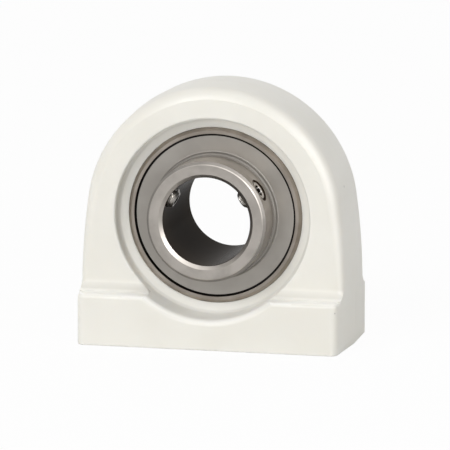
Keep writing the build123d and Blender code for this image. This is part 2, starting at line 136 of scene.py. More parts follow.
right, up, back = camera_axes()
turned = Matrix((right, up, back)).transposed().to_4x4()
camera = bpy.data.objects.new("camera", bpy.data.cameras.new("camera"))
camera.data.sensor_width = SENSOR_WIDTH
camera.data.lens = FOCAL_PIXELS * SENSOR_WIDTH / PICTURE_WIDTH
camera.data.clip_end = CLIP_END
camera.matrix_world = Matrix.Translation(LOOK_AT + back * CAMERA_DISTANCE) @ turned
bpy.context.scene.collection.objects.link(camera)
bpy.context.scene.camera = camera
print(f"lens {camera.data.lens:.0f} mm at {CAMERA_DISTANCE:.2f} m")

# %% [markdown]
# ## Shader arithmetic in plain Python
# A procedural finish is mostly arithmetic: how far from the shaft, how close to the parting line, how much
# grain. Wiring Math nodes by hand hides that arithmetic. So one small class wraps a socket, and its
# operators add the Math nodes, which lets an expression such as `1 - mask * 0.2` read as it would on paper.

# %% The wrapped socket
class Wire:
    """A node's output that can be used in arithmetic."""

    def __init__(self, tree, socket):
        self.tree = tree
        self.socket = socket

    def math(self, operation, *values):
        return self.tree.node("Math", {"operation": operation}, dict(enumerate(values)))

    def __add__(self, other):
        return self.math("ADD", self, other)

    def __sub__(self, other):
        return self.math("SUBTRACT", self, other)

    def __rsub__(self, other):
        return self.math("SUBTRACT", other, self)

    def __mul__(self, other):
        return self.math("MULTIPLY", self, other)

    def __truediv__(self, other):
        return self.math("DIVIDE", self, other)

    def __gt__(self, other):
        return self.math("GREATER_THAN", self, other)

    def __lt__(self, other):
        return self.math("LESS_THAN", self, other)

    __radd__ = __add__
    __rmul__ = __mul__

    def root(self):
        return self.math("SQRT", self)

    def size(self):
        return self.math("ABSOLUTE", self)

    def larger(self, other):
        return self.math("MAXIMUM", self, other)

    def between(self, low, high):
        """0 below low, 1 above high, and a smooth step from one to the other."""
        ends = {"Value": self, "From Min": low, "From Max": high, "To Min": 0, "To Max": 1}
        return self.tree.node("MapRange", {"interpolation_type": "SMOOTHSTEP"}, ends)


# %% [markdown]
# ## One method for every node
# Each node could be made by a few lines of its own. Here one method takes its type, its settings and its
# inputs, in that order, because a setting such as a Mix node's data type changes which inputs there are.
# What comes back in many finishes, such as noise or a mix of two colours, is a short method on top of it.

# %% The node tree
MIX_COLOURS = (6, 7)          # the inputs and the output of a Mix node that are for colours
MIX_RESULT = 2


class Tree:
    """A material's or the world's nodes."""

    def __init__(self, tree):
        self.tree = tree

    def feed(self, socket, value):
        if isinstance(value, Wire):
            self.tree.links.new(value.socket, socket)
        else:
            socket.default_value = value

    def node(self, kind, settings=None, inputs=None, output=0):
        made = self.tree.nodes.new("ShaderNode" + kind)
        for setting, value in (settings or {}).items():
            setattr(made, setting, value)
        for key, value in (inputs or {}).items():
            self.feed(made.inputs[key], value)
        return Wire(self, made.outputs[output])

    def split(self, vector):
        """The X, Y and Z of a vector."""
        return [self.node("SeparateXYZ", {}, {0: vector}, output=axis) for axis in range(3)]

    def join(self, x, y, z):
        """A vector with the given X, Y and Z."""
        return self.node("CombineXYZ", {}, {0: x, 1: y, 2: z})

    def noise(self, vector, scale, detail=2.0):
        return self.node("TexNoise", {}, {"Vector": vector, "Scale": scale, "Detail": detail})

    def mix(self, factor, first, second):
        """A colour between two colours."""
        colours = dict(zip(MIX_COLOURS, (first, second)))
        return self.node("Mix", {"data_type": "RGBA"}, {0: factor, **colours}, output=MIX_RESULT)


# %% [markdown]
# ## A material that knows the part
# A finish often asks the same questions about a point: how high it is, how far from the shaft, which way
# its surface faces, whether a set screw is near. The class below works them out from the object's own
# coordinates, which need no unwrapping and stay with each piece when it moves.

# %% The finish
RAGGED_PER_METRE = 1500
SPOT_EDGE = 1.4               # a spot has faded out at this many times its size


class Finish(Tree):
    """A new material, its Principled shader and the places that its patterns hang on."""

    def __init__(self, name, **constants):
        self.material = bpy.data.materials.new(name)
        self.material.use_nodes = True
        super().__init__(self.material.node_tree)
        self.surface = self.tree.nodes["Principled BSDF"]
        self.fill(self.surface, constants)
        self.place = self.node("TexCoord", output="Object")
        self.x, self.y, self.z = self.split(self.place)
        self.height = self.z - SHAFT_HEIGHT
        self.radius = (self.x * self.x + self.height * self.height).root()

    def fill(self, shader, values):
        """Feeds a shader's sockets, whose names are spelled with _ in place of a space."""
        for name, value in values.items():
            self.feed(shader.inputs[name.replace("_", " ")], value)

    def facing(self, axis):
        """How far the surface faces along an axis, X, Y or Z, from -1 to 1."""
        normal = self.node("NewGeometry", output="Normal")
        return self.node("SeparateXYZ", {}, {0: normal}, output=axis)

    def near_screws(self, reach):
        """1 within a distance of either set screw's axis, on the side where the screw is."""
        total = 0
        for outward in SCREW_OUTWARD.values():
            shift = self.y - SCREW_ALONG_SHAFT
            along = self.x * outward.x + self.height * outward.z
            across = self.x * outward.z - self.height * outward.x
            total = ((across * across + shift * shift).root() < reach) * (along > 0) + total
        return total

    def spot(self, place, size):
        """1 near a place, fading out at a ragged distance."""
        away = self.node("VectorMath", {"operation": "DISTANCE"}, {0: self.place, 1: place}, "Value")
        ragged = away + self.noise(self.place, RAGGED_PER_METRE) * size
        return 1 - ragged.between(size, SPOT_EDGE * size)

    def bump(self, height, depth):
        """Relief of a given depth where the height goes from 0 to 1."""
        relief = self.node("Bump", {}, {"Strength": 1.0, "Distance": depth, "Height": height})
        self.feed(self.surface.inputs["Normal"], relief)

    def elsewhere(self, mask, **constants):
        """A second Principled shader, which takes over where the mask is 1."""
        second = self.tree.nodes.new("ShaderNodeBsdfPrincipled")
        self.fill(second, constants)
        shaders = [Wire(self, shader.outputs[0]) for shader in (self.surface, second)]
        both = self.node("MixShader", {}, {0: mask, 1: shaders[0], 2: shaders[1]})
        self.feed(self.tree.nodes["Material Output"].inputs["Surface"], both)

    def put(self, **values):
        self.fill(self.surface, values)
        print("finish:", self.material.name, "with", len(self.tree.nodes), "nodes")
        return self.material


# %% [markdown]
# ## Moulded plastic
# The housing is one moulding in white thermoplastic. Four things make plastic read as plastic and not as
# paint: light goes a little way into it before it comes out again, the colour drifts very slightly where
# the melt cooled differently, the gloss varies with the colour, and the tool's fine grain breaks up every
# highlight. A picture wrapped round the housing would show seams, so noise in space gives the drift, and a
# few scuffs are spots at chosen places.

# %% Colour of the plastic
IVORY = (0.840, 0.822, 0.760, 1)
IVORY_SHADE = (0.815, 0.795, 0.728, 1)
PATCHES = (0.35, 0.7)         # a soft step at these levels cuts noise into patches
SCUFF = (0.42, 0.40, 0.37, 1)
SCUFF_STRENGTH = 0.6
SCUFFS = [                    # place and size, in mm
    ((35.8, -2.5, 45.2), 0.55),
    ((35.3, 8.0, 47.3), 0.5),
    ((36.7, -18.5, 12.2), 0.4),
]


def plastic_colour(finish, drift):
    """Ivory that drifts a little, with a few scuffs on it."""
    colour = finish.mix(drift.between(*PATCHES), IVORY, IVORY_SHADE)
    for place, size in SCUFFS:
        scuffed = finish.spot(Vector(place) * MM, size * MM) * SCUFF_STRENGTH
        colour = finish.mix(scuffed, colour, SCUFF)
    return colour


print("scuffs:", len(SCUFFS))

# %% [markdown]
# ## Painted light and shade on the wall of the recess
# The bearing sits in a round recess. Its wall is painted darker at the left and right, painted shade,
# and paler above and below, painted light that stands in for light shining through the plastic. Real
# light through the plastic needs many bounces, and the picture would stay noisy. So a mask from the direction that
# the wall faces sets the colour.

# %% Painted light and shade on the recess's wall
# painted shade on the side walls, and painted light on the ceiling and floor for light through the plastic
IVORY_SIDE_SHADE = (0.76, 0.745, 0.69, 1)
IVORY_THROUGH_LIGHT = (0.93, 0.915, 0.86, 1)
WALL_RADIUS = 33 * MM
END_FACE = (0.85, 0.97)       # a wall turns into an end face, square to the shaft, between these
UP_OR_DOWN = (0.2, 0.8)       # and from a side into a floor or a ceiling between these


def recess_light_and_shade(finish, colour):
    """The colour, with painted shade on the recess's side walls and painted light on its ceiling and floor."""
    on_end_face = finish.facing("Y").size().between(*END_FACE)
    on_ceiling_and_floor = finish.facing("Z").size().between(*UP_OR_DOWN)
    on_wall = (finish.radius < WALL_RADIUS) * (1 - on_end_face)
    wall_light_and_shade = finish.mix(on_ceiling_and_floor, IVORY_SIDE_SHADE, IVORY_THROUGH_LIGHT)
    return finish.mix(on_wall, colour, wall_light_and_shade)


print(f"recess's wall: within {WALL_RADIUS / MM:.0f} mm of the axis")

# %% [markdown]
# ## The pads and their coves
# The base's pads were moulded against a polished part of the tool, so their flat tops have less grain. They
# are also painted paler, painted light. Each top runs into the arch through a cove, which is rougher and is
# painted darker, painted shade that damps a bright line there. A second material on chosen faces would end
# at a hard edge, and a mask from height and direction fades out. The tops slope by the draft that lets the
# moulding out of its tool, and so does the mask.

# %% The pads' tops and coves
# painted light on the pads' flat tops, and painted shade in their coves
IVORY_TOP_LIGHT = (0.98, 0.965, 0.91, 1)
IVORY_COVE_SHADE = (0.79, 0.772, 0.712, 1)
PAD_START = 13.4 * MM         # from the parting plane
PAD_LOW = 11.5 * MM           # lower than any top
PAD_HIGH = 19.5 * MM          # higher than any cove
PAD_HEIGHT = 15.4 * MM        # of the tops, carried on to the parting plane
PAD_SLOPE = 0.0437            # the tangent of 2.5 degrees
COVE_START = 0.02 * MM        # above the flat top
FLAT_TOP = (0.65, 0.88)       # a pad's rounded edge turns into its top between these
COVE_END = (0.15, 0.5)        # the upright arch turns into a cove between these
COVE_FADE = (0.80, 1.0)       # and the cove into the flat top between these


def pad_masks(finish, from_parting):
    """1 on the pads, and 1 in the coves behind them."""
    on_pads = (from_parting > PAD_START) * (finish.z < PAD_HIGH) * (finish.z > PAD_LOW)
    above_pads = finish.z - PAD_HEIGHT + from_parting * PAD_SLOPE
    in_cove = (above_pads > COVE_START) * on_pads * finish.facing("Z").between(*COVE_END)
    return on_pads, in_cove


def pad_light_and_shade(finish, colour, on_pads, in_cove):
    """The colour, with painted light on the pads' tops and painted shade in their coves."""
    upward = finish.facing("Z")
    colour = finish.mix(upward.between(*FLAT_TOP) * on_pads, colour, IVORY_TOP_LIGHT)
    cove_light_and_shade = finish.mix(upward.between(*COVE_FADE), IVORY_COVE_SHADE, IVORY_TOP_LIGHT)
    return finish.mix(in_cove, colour, cove_light_and_shade)


print(f"pads: {PAD_LOW / MM:.1f} to {PAD_HIGH / MM:.1f} mm high")

# %% [markdown]
# ## The parting line, and all of the plastic together
# The two halves of the tool met in the plane through the middle of the arch, 1.2 mm behind the balls. A
# hairline of plastic that crept between them runs over the crown and down the ends of the base. As a mesh
# it would be a sliver of a face all the way round, and in the relief it costs one mask.

# %% White moulded plastic
INTO_PLASTIC = {"Subsurface_Weight": 0.35, "Subsurface_Radius": (1.0, 0.93, 0.82), "Subsurface_Scale": 0.003}
PLASTIC_SHEEN = 0.8
PLASTIC_ROUGHNESS = 0.33
DRIFT_ROUGHNESS = 0.1         # added by the drift
COVE_ROUGHNESS = 0.3          # added in the coves
DRIFT_PER_METRE = 45
GRAIN_PER_METRE = 5200
GRAIN = 0.25                  # share of the relief
POLISHED = 0.2                # share that polishing took off
RELIEF_DEPTH = 0.03 * MM
PARTING_PLACE = 1.2 * MM
PARTING_HALF_WIDTH = 0.09 * MM
PARTING_REACH = 4 * MM        # inward from the crown


def moulded_plastic():
    finish = Finish("white_moulded_plastic", Specular_IOR_Level=PLASTIC_SHEEN, **INTO_PLASTIC)
    drift = finish.noise(finish.place, DRIFT_PER_METRE, detail=3)
    grain = finish.noise(finish.place, GRAIN_PER_METRE, detail=1)
    outside = finish.radius > CROWN_RADIUS - PARTING_REACH
    from_parting = (finish.y - PARTING_PLACE).size()
    hairline = (1 - from_parting.between(PARTING_HALF_WIDTH / 2, PARTING_HALF_WIDTH)) * outside
    on_pads, in_cove = pad_masks(finish, from_parting)
    colour = recess_light_and_shade(finish, plastic_colour(finish, drift))
    colour = pad_light_and_shade(finish, colour, on_pads, in_cove)
    finish.bump(grain * (GRAIN - POLISHED * on_pads) + hairline, RELIEF_DEPTH)
    roughness = PLASTIC_ROUGHNESS + DRIFT_ROUGHNESS * drift + COVE_ROUGHNESS * in_cove
    return finish.put(Base_Color=colour, Roughness=roughness)


PLASTIC = moulded_plastic()

# %% [markdown]
# ## Steel, three ways
# The bearing shows three steel surfaces. The rings are ground: very fine marks run round the shaft. The
# flingers are pressed from sheet and keep its dull, even tooth. The balls are lapped to a mirror. A shader's
# anisotropy would stretch the rings' highlights but draw no marks. So the marks come from noise whose
# coordinates are the distance from the axis, very dense, and the direction round it, very sparse. Cosine and
# sine of the angle stand in for the angle, so no seam shows.

# %% Marks that run round the shaft
MARK_SPACING = 0.09 * MM
MARK_WANDER = 1.5             # how much the marks change on their way round
MARK_DETAIL = 3.0


def round_marks(finish):
    """Noise drawn out into rings."""
    cosine = finish.x / finish.radius
    sine = finish.height / finish.radius
    across = finish.join(cosine * MARK_WANDER, sine * MARK_WANDER, finish.radius / MARK_SPACING)
    inputs = {"Vector": across, "W": finish.y / MARK_SPACING, "Scale": 1.0, "Detail": MARK_DETAIL}
    return finish.node("TexNoise", {"noise_dimensions": "4D"}, inputs)


print(f"marks every {MARK_SPACING / MM:.2f} mm")

# %% [markdown]
# ## Ground rings
# Clean steel mirrors its surroundings. The bore is painted dark brown, the tapped holes dark at their
# mouths, and the outer ring black inside the gap round the flinger: painted shade, a dull second shader
# that hardly mirrors anything. It isn't a metal, so one shader's colour can't show both, and cutting the
# mesh into two materials would tie it to faces. Here a second shader takes over behind a mask. The outer
# part of the collar's bevel is painted darker and made rougher, painted shade that takes its reflection
# away, and only a thin bright line is left inside it.

# %% Ground steel
# painted shade: dark brown in the bore and at the tapped holes' mouths, black in gaps and sockets
DARK_BROWN_SHADE = {"Base_Color": (0.038, 0.027, 0.018, 1), "Roughness": 0.22, "Specular_IOR_Level": 0.003}
BLACK_SHADE = {"Base_Color": (0.009, 0.006, 0.004, 1), "Roughness": 0.8, "Specular_IOR_Level": 0.1}
HOLE_SHADE_RADIUS = 3.35 * MM  # the tapped holes' mouths
# painted shade on the outer part of the collar's bevel: it takes the bevel's reflection away and leaves a thin
# highlight line
BEVEL_SHADE = (0.14, 0.132, 0.122, 1)
BEVEL_SHADE_FROM = COLLAR_RADIUS - 0.65 * MM     # from the axis
BEVEL_SHADE_TO = COLLAR_RADIUS + 0.1 * MM
BEVEL_START = (0.3, 0.5)      # the collar's side turns into the bevel between these
BEVEL_END = (0.8, 0.97)       # and the bevel into the end face between these
CLOUDS_PER_METRE = 160
MARK_DEPTH = 0.004 * MM
GROUND_ROUGHNESS = 0.22
MARK_ROUGHNESS = 0.12         # added by the marks
CLOUD_ROUGHNESS = 0.08        # added by the clouds
BEVEL_SHADE_ROUGHNESS = 0.35         # added on the shaded bevel


def shaded_bevel(finish):
    """1 on the outer part of the collar's bevel, where shade is painted."""
    slant = finish.facing("Y").size()
    bevel = slant.between(*BEVEL_START) * (1 - slant.between(*BEVEL_END))
    return bevel * (finish.radius > BEVEL_SHADE_FROM) * (finish.radius < BEVEL_SHADE_TO)


def ground_steel(name, colour, shade, painted_shade_within, painted_shade, bevel_shade_share=0.0):
    """Steel with marks round the shaft, and painted shade near the axis and at the tapped holes."""
    finish = Finish(name, Metallic=1.0)
    marks = round_marks(finish)
    clouds = finish.noise(finish.place, CLOUDS_PER_METRE, detail=4)
    on_shaded_bevel = shaded_bevel(finish) * bevel_shade_share
    finish.bump(marks, MARK_DEPTH)
    tone = finish.mix(clouds.between(*PATCHES), colour, shade)
    tone = finish.mix(on_shaded_bevel, tone, BEVEL_SHADE)
    # painted shade within a radius of the axis and at the tapped holes' mouths
    on_painted_shade = (finish.radius < painted_shade_within).larger(finish.near_screws(HOLE_SHADE_RADIUS))
    finish.elsewhere(on_painted_shade, **painted_shade)
    roughness = GROUND_ROUGHNESS + MARK_ROUGHNESS * marks + CLOUD_ROUGHNESS * clouds
    return finish.put(Base_Color=tone, Roughness=roughness + BEVEL_SHADE_ROUGHNESS * on_shaded_bevel)


INNER_COLOURS = (0.46, 0.428, 0.393, 1), (0.37, 0.343, 0.313, 1)
OUTER_COLOURS = (0.37, 0.331, 0.290, 1), (0.285, 0.252, 0.218, 1)
BORE_SHADE_RADIUS = BORE_RADIUS + 0.05 * MM
GAP_SHADE_RADIUS = FLINGER_RADIUS + 0.5 * MM
INNER_STEEL = ground_steel("inner_ring_steel", *INNER_COLOURS, BORE_SHADE_RADIUS, DARK_BROWN_SHADE, bevel_shade_share=0.6)
OUTER_STEEL = ground_steel("outer_ring_steel", *OUTER_COLOURS, GAP_SHADE_RADIUS, BLACK_SHADE)

# %% [markdown]
# ## Pressed sheet
# Flingers and cage are pressed from cold-rolled sheet. Rolling leaves faint long streaks, and the sheet's
# own tooth is even and dull. A scan of real sheet would have to be unwrapped round each hub and pocket, so
# both are noise, one of them stretched. The flinger's hub is painted darker next to the collar, painted
# shade where it meets the ring, and its cut outer edge is painted black, painted shade in the gap round it.

# %% Flingers and cage
# painted shade on the flinger's hub, where it meets the collar
HUB_SHADE = (0.12, 0.113, 0.105, 1)
HUB_SHADE_STRENGTH = 0.45
HUB_SHADE_REACH = (COLLAR_RADIUS + 0.9 * MM, COLLAR_RADIUS + 1.35 * MM)   # it fades out between these
SHEET_TOOTH_PER_METRE = 5000
SHEET_PATCHES_PER_METRE = 90
SHEET_PATCHES = (0.3, 0.7)
STREAKS_PER_METRE = 40
STREAK_STRETCH = (3, 3, 60)   # how much denser they are along X, Y and Z
SHEET_TOOTH = 0.6             # share of the relief
SHEET_STREAKS = 0.4           # the rest of it
SHEET_DEPTH = 0.004 * MM
STREAK_ROUGHNESS = 0.1        # added by the streaks
HUB_ROUGHNESS = 0.3         # added on the hub
FAR_AWAY = 1.0                # a radius that no piece reaches


def pressed_sheet(name, colour, shade, roughness, cut_edge=FAR_AWAY):
    """Rolled and pressed steel, with black painted shade outside the radius of its cut edge."""
    finish = Finish(name, Metallic=1.0)
    tooth = finish.noise(finish.place, SHEET_TOOTH_PER_METRE, detail=2)
    clouds = finish.noise(finish.place, SHEET_PATCHES_PER_METRE, detail=3)
    stretched = [place * times for place, times in zip((finish.x, finish.y, finish.z), STREAK_STRETCH)]
    streaks = finish.noise(finish.join(*stretched), STREAKS_PER_METRE, detail=3)
    finish.bump(SHEET_TOOTH * tooth + SHEET_STREAKS * streaks, SHEET_DEPTH)
    tone = finish.mix(clouds.between(*SHEET_PATCHES), colour, shade)
    on_hub = 1 - finish.radius.between(*HUB_SHADE_REACH)
    tone = finish.mix(on_hub * HUB_SHADE_STRENGTH, tone, HUB_SHADE)
    # painted shade: black outside the cut edge, in the gap round the flinger
    finish.elsewhere(finish.radius > cut_edge, **BLACK_SHADE)
    roughness = roughness + STREAK_ROUGHNESS * streaks + HUB_ROUGHNESS * on_hub
    return finish.put(Base_Color=tone, Roughness=roughness)


FLINGER_COLOURS = (0.38, 0.358, 0.328, 1), (0.325, 0.305, 0.278, 1)
CAGE_COLOURS = (0.55, 0.53, 0.50, 1), (0.47, 0.45, 0.43, 1)
FLINGER_EDGE = FLINGER_RADIUS - 0.1 * MM
FLINGER_STEEL = pressed_sheet("flinger_sheet", *FLINGER_COLOURS, roughness=0.34, cut_edge=FLINGER_EDGE)
CAGE_STEEL = pressed_sheet("cage_sheet", *CAGE_COLOURS, roughness=0.28)

# %% [markdown]
# ## Balls and seals
# The balls are lapped until they mirror, so their only pattern is a haze in the gloss. The seals' rubber is
# the opposite: nearly black, matt, with a fine skin from its mould. Scratches and dust could be added to
# both, but they are sealed inside and only show when the bearing is opened up, so they stay simple.

# %% Lapped steel and black rubber
BALL_COLOURS = (0.66, 0.65, 0.63, 1), (0.60, 0.59, 0.57, 1)
BALL_ROUGHNESS = 0.06
HAZE_PER_METRE = 700
HAZE_ROUGHNESS = 0.05         # added by the haze
RUBBER_COLOURS = (0.014, 0.011, 0.009, 1), (0.028, 0.024, 0.021, 1)
RUBBER_SHEEN = 0.35
RUBBER_ROUGHNESS = 0.55
SKIN_PER_METRE = 2500
SKIN_DEPTH = 0.02 * MM
SKIN_ROUGHNESS = 0.2          # added by the skin


def lapped_steel():
    finish = Finish("lapped_steel", Metallic=1.0)
    haze = finish.noise(finish.place, HAZE_PER_METRE, detail=2)
    tone = finish.mix(haze, *BALL_COLOURS)
    return finish.put(Base_Color=tone, Roughness=BALL_ROUGHNESS + HAZE_ROUGHNESS * haze)


def black_rubber():
    finish = Finish("black_rubber", Specular_IOR_Level=RUBBER_SHEEN)
    mould_skin = finish.noise(finish.place, SKIN_PER_METRE, detail=3)
    finish.bump(mould_skin, SKIN_DEPTH)
    tone = finish.mix(mould_skin, *RUBBER_COLOURS)
    return finish.put(Base_Color=tone, Roughness=RUBBER_ROUGHNESS + SKIN_ROUGHNESS * mould_skin)


BALL_STEEL = lapped_steel()
RUBBER = black_rubber()

# %% [markdown]
# ## Small machined pieces
# Set screws and inserts are turned on an automatic lathe and lightly oiled. Their marks could run round
# each axis as the rings' do, but at this size they are too fine to see one by one, so an even tooth and
# patches of oil stand for them. The screws' sockets are painted black inside, painted shade in the holes.

# %% Screws and inserts
SOCKET_SHADE_RADIUS = 1.62 * MM
TURNED_TOOTH_PER_METRE = 9000
TURNED_DEPTH = 0.002 * MM
OIL_PER_METRE = 600
OIL_PATCHES = (0.4, 0.7)
OIL_ROUGHNESS = 0.12          # added by the oil


def machined_steel(name, colour, shade, roughness):
    finish = Finish(name, Metallic=1.0)
    tooth = finish.noise(finish.place, TURNED_TOOTH_PER_METRE, detail=2)
    oil = finish.noise(finish.place, OIL_PER_METRE, detail=4)
    finish.bump(tooth, TURNED_DEPTH)
    tone = finish.mix(oil.between(*OIL_PATCHES), colour, shade)
    # painted shade: black inside the screws' sockets
    finish.elsewhere(finish.near_screws(SOCKET_SHADE_RADIUS), **BLACK_SHADE)
    return finish.put(Base_Color=tone, Roughness=roughness + OIL_ROUGHNESS * oil)


SCREW_COLOURS = (0.60, 0.575, 0.54, 1), (0.42, 0.40, 0.375, 1)
INSERT_COLOURS = (0.62, 0.60, 0.56, 1), (0.50, 0.48, 0.45, 1)
SCREW_STEEL = machined_steel("screw_steel", *SCREW_COLOURS, roughness=0.24)
INSERT_STEEL = machined_steel("insert_steel", *INSERT_COLOURS, roughness=0.26)

# %% [markdown]
# ## Dress the solids
# Most solids already have the right shape, so they keep it and only change their material. A line for each
# node would name 25 of them. The record's material slot already says what each is made of, so one table of
# slots does it all, and only the outer ring is told apart from the inner one.

# %% Assign the finishes
FINISHES = {
    "white_plastic": PLASTIC,
    "insert_steel": INSERT_STEEL,
    "ring_steel": INNER_STEEL,
    "flinger_steel": FLINGER_STEEL,
    "cage_steel": CAGE_STEEL,
    "seal_rubber": RUBBER,
    "screw_steel": SCREW_STEEL,
    "ball_steel": BALL_STEEL,
}
for subpart in frame["record"]["subparts"]:
    node = subpart["node"]
    for slot in nodes[node].material_slots:
        slot.material = OUTER_STEEL if node == "outer_ring" else FINISHES[subpart["material_slot"]]

# %% [markdown]
# ## A skin stacked from rings
# Screws and inserts are both bodies of revolution with something extra: a helix, a hexagon, a knurl. A
# lathe tool can't make those, but a stack of rings can. Each ring has equally many points, its radius may
# depend on the angle, and neighbouring rings are joined by quads, which leaves a clean closed mesh.

# %% Rings and skins
def ring(radius, height, columns):
    """Points round the Z axis. The radius is a number, or a function of the angle and the height."""
    points = []
    for column in range(columns):
        angle = tau * column / columns
        reach = radius(angle, height) if callable(radius) else radius
        points.append(Vector((reach * cos(angle), reach * sin(angle), height)))
    return points


def skin(rings):
    """A closed mesh through a stack of rings; its first and last ring shrink to a point."""
    body = bmesh.new()
    rows = [[body.verts.new(point) for point in points] for points in rings]
    count = len(rows[0])
    for lower, upper in zip(rows, rows[1:]):
        for column in range(count):
            following = (column + 1) % count
            body.faces.new((lower[column], lower[following], upper[following], upper[column]))
    for row in (rows[0], rows[-1]):
        middle = sum((vert.co for vert in row), Vector()) / count
        bmesh.ops.pointmerge(body, verts=row, merge_co=middle)
    bmesh.ops.recalc_face_normals(body, faces=body.faces)
    return body


# %% [markdown]
# ## From a skin to a piece
# A piece has to say three things: which body it rides on, which material slot it fills and which solid it
# stands in for. Moving the object would be the usual way to place it. Here its points are moved and the
# object stays at the origin, so a finish finds the same coordinates on it as on the solids.

# %% Seat a piece
SHARP_ANGLE = radians(32)


def seat(name, body, place, material, rides_on, stands_for):
    """Turns a bmesh into a named object where it belongs, on its body and in its solid's stead."""
    mesh = bpy.data.meshes.new(name)
    body.transform(place)
    body.to_mesh(mesh)
    body.free()
    mesh.shade_smooth()
    mesh.set_sharp_from_angle(angle=SHARP_ANGLE)
    mesh.materials.append(material)
    piece = bpy.data.objects.new(name, mesh)
    bpy.context.scene.collection.objects.link(piece)
    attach(piece, rides_on)
    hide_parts(stands_for)
    print("made", name, "with", len(mesh.polygons), "faces")
    return piece


# %% [markdown]
# ## Threads
# A thread is a ridge wound on a cylinder. On a fine grid it is enough to ask, at each angle and height, how
# far that point is from the ridge's crest: the phase of the helix. Blender's Screw modifier winds a profile
# too, but its ends would have to be cut and closed. The standard 60 degree form has a crest an eighth of
# the pitch wide, a root a quarter wide, and straight flanks between them.

# %% The thread form
CREST_SHARE = 1 / 8
ROOT_SHARE = 1 / 4
DEPTH_PER_PITCH = 0.613
ROWS_PER_PITCH = 16


def below_crest(angle, height, pitch):
    """0 on the crest of the thread, 1 in its root."""
    phase = (height / pitch - angle / tau) % 1.0
    from_crest = abs(phase - 0.5) * 2
    return min(1.0, max(0.0, (from_crest - CREST_SHARE) / (1 - CREST_SHARE - ROOT_SHARE)))


def levels(start, end, pitch):
    """Heights for the rows of a thread."""
    rows = max(2, round(abs(end - start) / pitch * ROWS_PER_PITCH))
    return [start + (end - start) * row / rows for row in range(rows + 1)]


# %% [markdown]
# ## The set screws
# Each is an M6 socket set screw, screwed through the collar until its cup point can bite a shaft. The solids
# keep a short plain screw just clear of the bore, so that a shaft goes in. Here they are longer and screwed
# further in, as on a bearing that waits for its shaft: their points stand inside the empty bore. The hexagon
# socket is a ring whose radius is the distance to the flat at each angle, which needs no boolean and leaves
# crisp corners.

# %% The profile of a set screw
SCREW_COLUMNS = 60
SCREW_PITCH = 1.0 * MM
SCREW_OUTER = 2.94 * MM
CLOSING_RADIUS = 0.02 * MM    # of the small rings that close a skin
CUP_RADIUS = 1.55 * MM
CUP_LIP = 0.12 * MM
CUP_EDGE = 0.06 * MM          # where the cup's cone starts
CUP_DEPTH = 0.75 * MM
POINT_RADIUS = 2.1 * MM
HEAD_CHAMFER = 0.45 * MM
EASING = 0.05 * MM            # of the corners at both ends
THREAD_END = 0.01 * MM        # from each end to the thread's outermost row
SOCKET_FLAT = 1.5 * MM        # centre to flat
SOCKET_MOUTH = SOCKET_FLAT * 1.22
SOCKET_EDGE = SOCKET_FLAT * 1.16
SOCKET_START = 0.22 * MM
SOCKET_DEPTH = 2.6 * MM
SOCKET_FLOOR = SOCKET_FLAT * 0.9
SOCKET_FLOOR_DEPTH = SOCKET_DEPTH + 0.1 * MM
SOCKET_MIDDLE_DEPTH = SOCKET_DEPTH + 0.5 * MM


def hexagon(angle, height):
    """Distance from the centre to the side of the socket."""
    return SOCKET_FLAT / cos((angle + pi / 6) % (pi / 3) - pi / 6)


def screw_side(length):
    """The thread, cut back at both ends by a chamfer."""
    def radius(angle, height):
        thread = SCREW_OUTER - DEPTH_PER_PITCH * SCREW_PITCH * below_crest(angle, height, SCREW_PITCH)
        return min(thread, POINT_RADIUS + height, SCREW_OUTER - HEAD_CHAMFER + (length - height))
    return radius


def set_screw_rings(length):
    """From the middle of the cup, up the thread, and down into the socket."""
    side = screw_side(length)
    shape = [
        (CLOSING_RADIUS, CUP_DEPTH),
        (CUP_RADIUS, CUP_EDGE),
        (CUP_RADIUS + CUP_LIP, 0),
        (POINT_RADIUS - EASING, 0),
    ]
    shape += [(side, height) for height in levels(THREAD_END, length - THREAD_END, SCREW_PITCH)]
    shape += [
        (SCREW_OUTER - HEAD_CHAMFER - EASING, length),
        (SOCKET_MOUTH, length),
        (SOCKET_EDGE, length - EASING),
        (hexagon, length - SOCKET_START),
        (hexagon, length - SOCKET_DEPTH),
        (SOCKET_FLOOR, length - SOCKET_FLOOR_DEPTH),
        (CLOSING_RADIUS, length - SOCKET_MIDDLE_DEPTH),
    ]
    return [ring(radius, height, SCREW_COLUMNS) for radius, height in shape]


# %% [markdown]
# ## Screwed into the collar
# Both screws are the same, so a loop makes them. Each could be placed by angles, but the joint already says
# in which direction the screw travels, and a matrix that turns the mesh's Z into that direction is all it
# needs.

# %% Screw them in
SCREW_INNER_END = 10.75 * MM  # point of the screw, from the shaft's axis
SCREW_OUTER_END = COLLAR_RADIUS - 0.35 * MM


def pointing(direction, origin):
    """A matrix that turns local Z into a direction, and moves the origin."""
    return Matrix.Translation(origin) @ direction.to_track_quat("Z", "Y").to_matrix().to_4x4()


for side in SIDES:
    node = f"set_screw_{side}"
    outward = SCREW_OUTWARD[side]
    start = Vector((0, SCREW_ALONG_SHAFT, SHAFT_HEIGHT)) + outward * SCREW_INNER_END
    rings = set_screw_rings(SCREW_OUTER_END - SCREW_INNER_END)
    seat(f"threaded_{node}", skin(rings), pointing(outward, start), SCREW_STEEL, node, node)

# %% [markdown]
# ## The threaded inserts
# Two steel bushes are moulded into the base, with an M10 thread from below, a groove that the plastic grips
# and a knurl that keeps them from turning. The knurl is hidden in the plastic, yet the mesh is a result in
# its own right, so it is there: every second point of a ring stands a little lower.

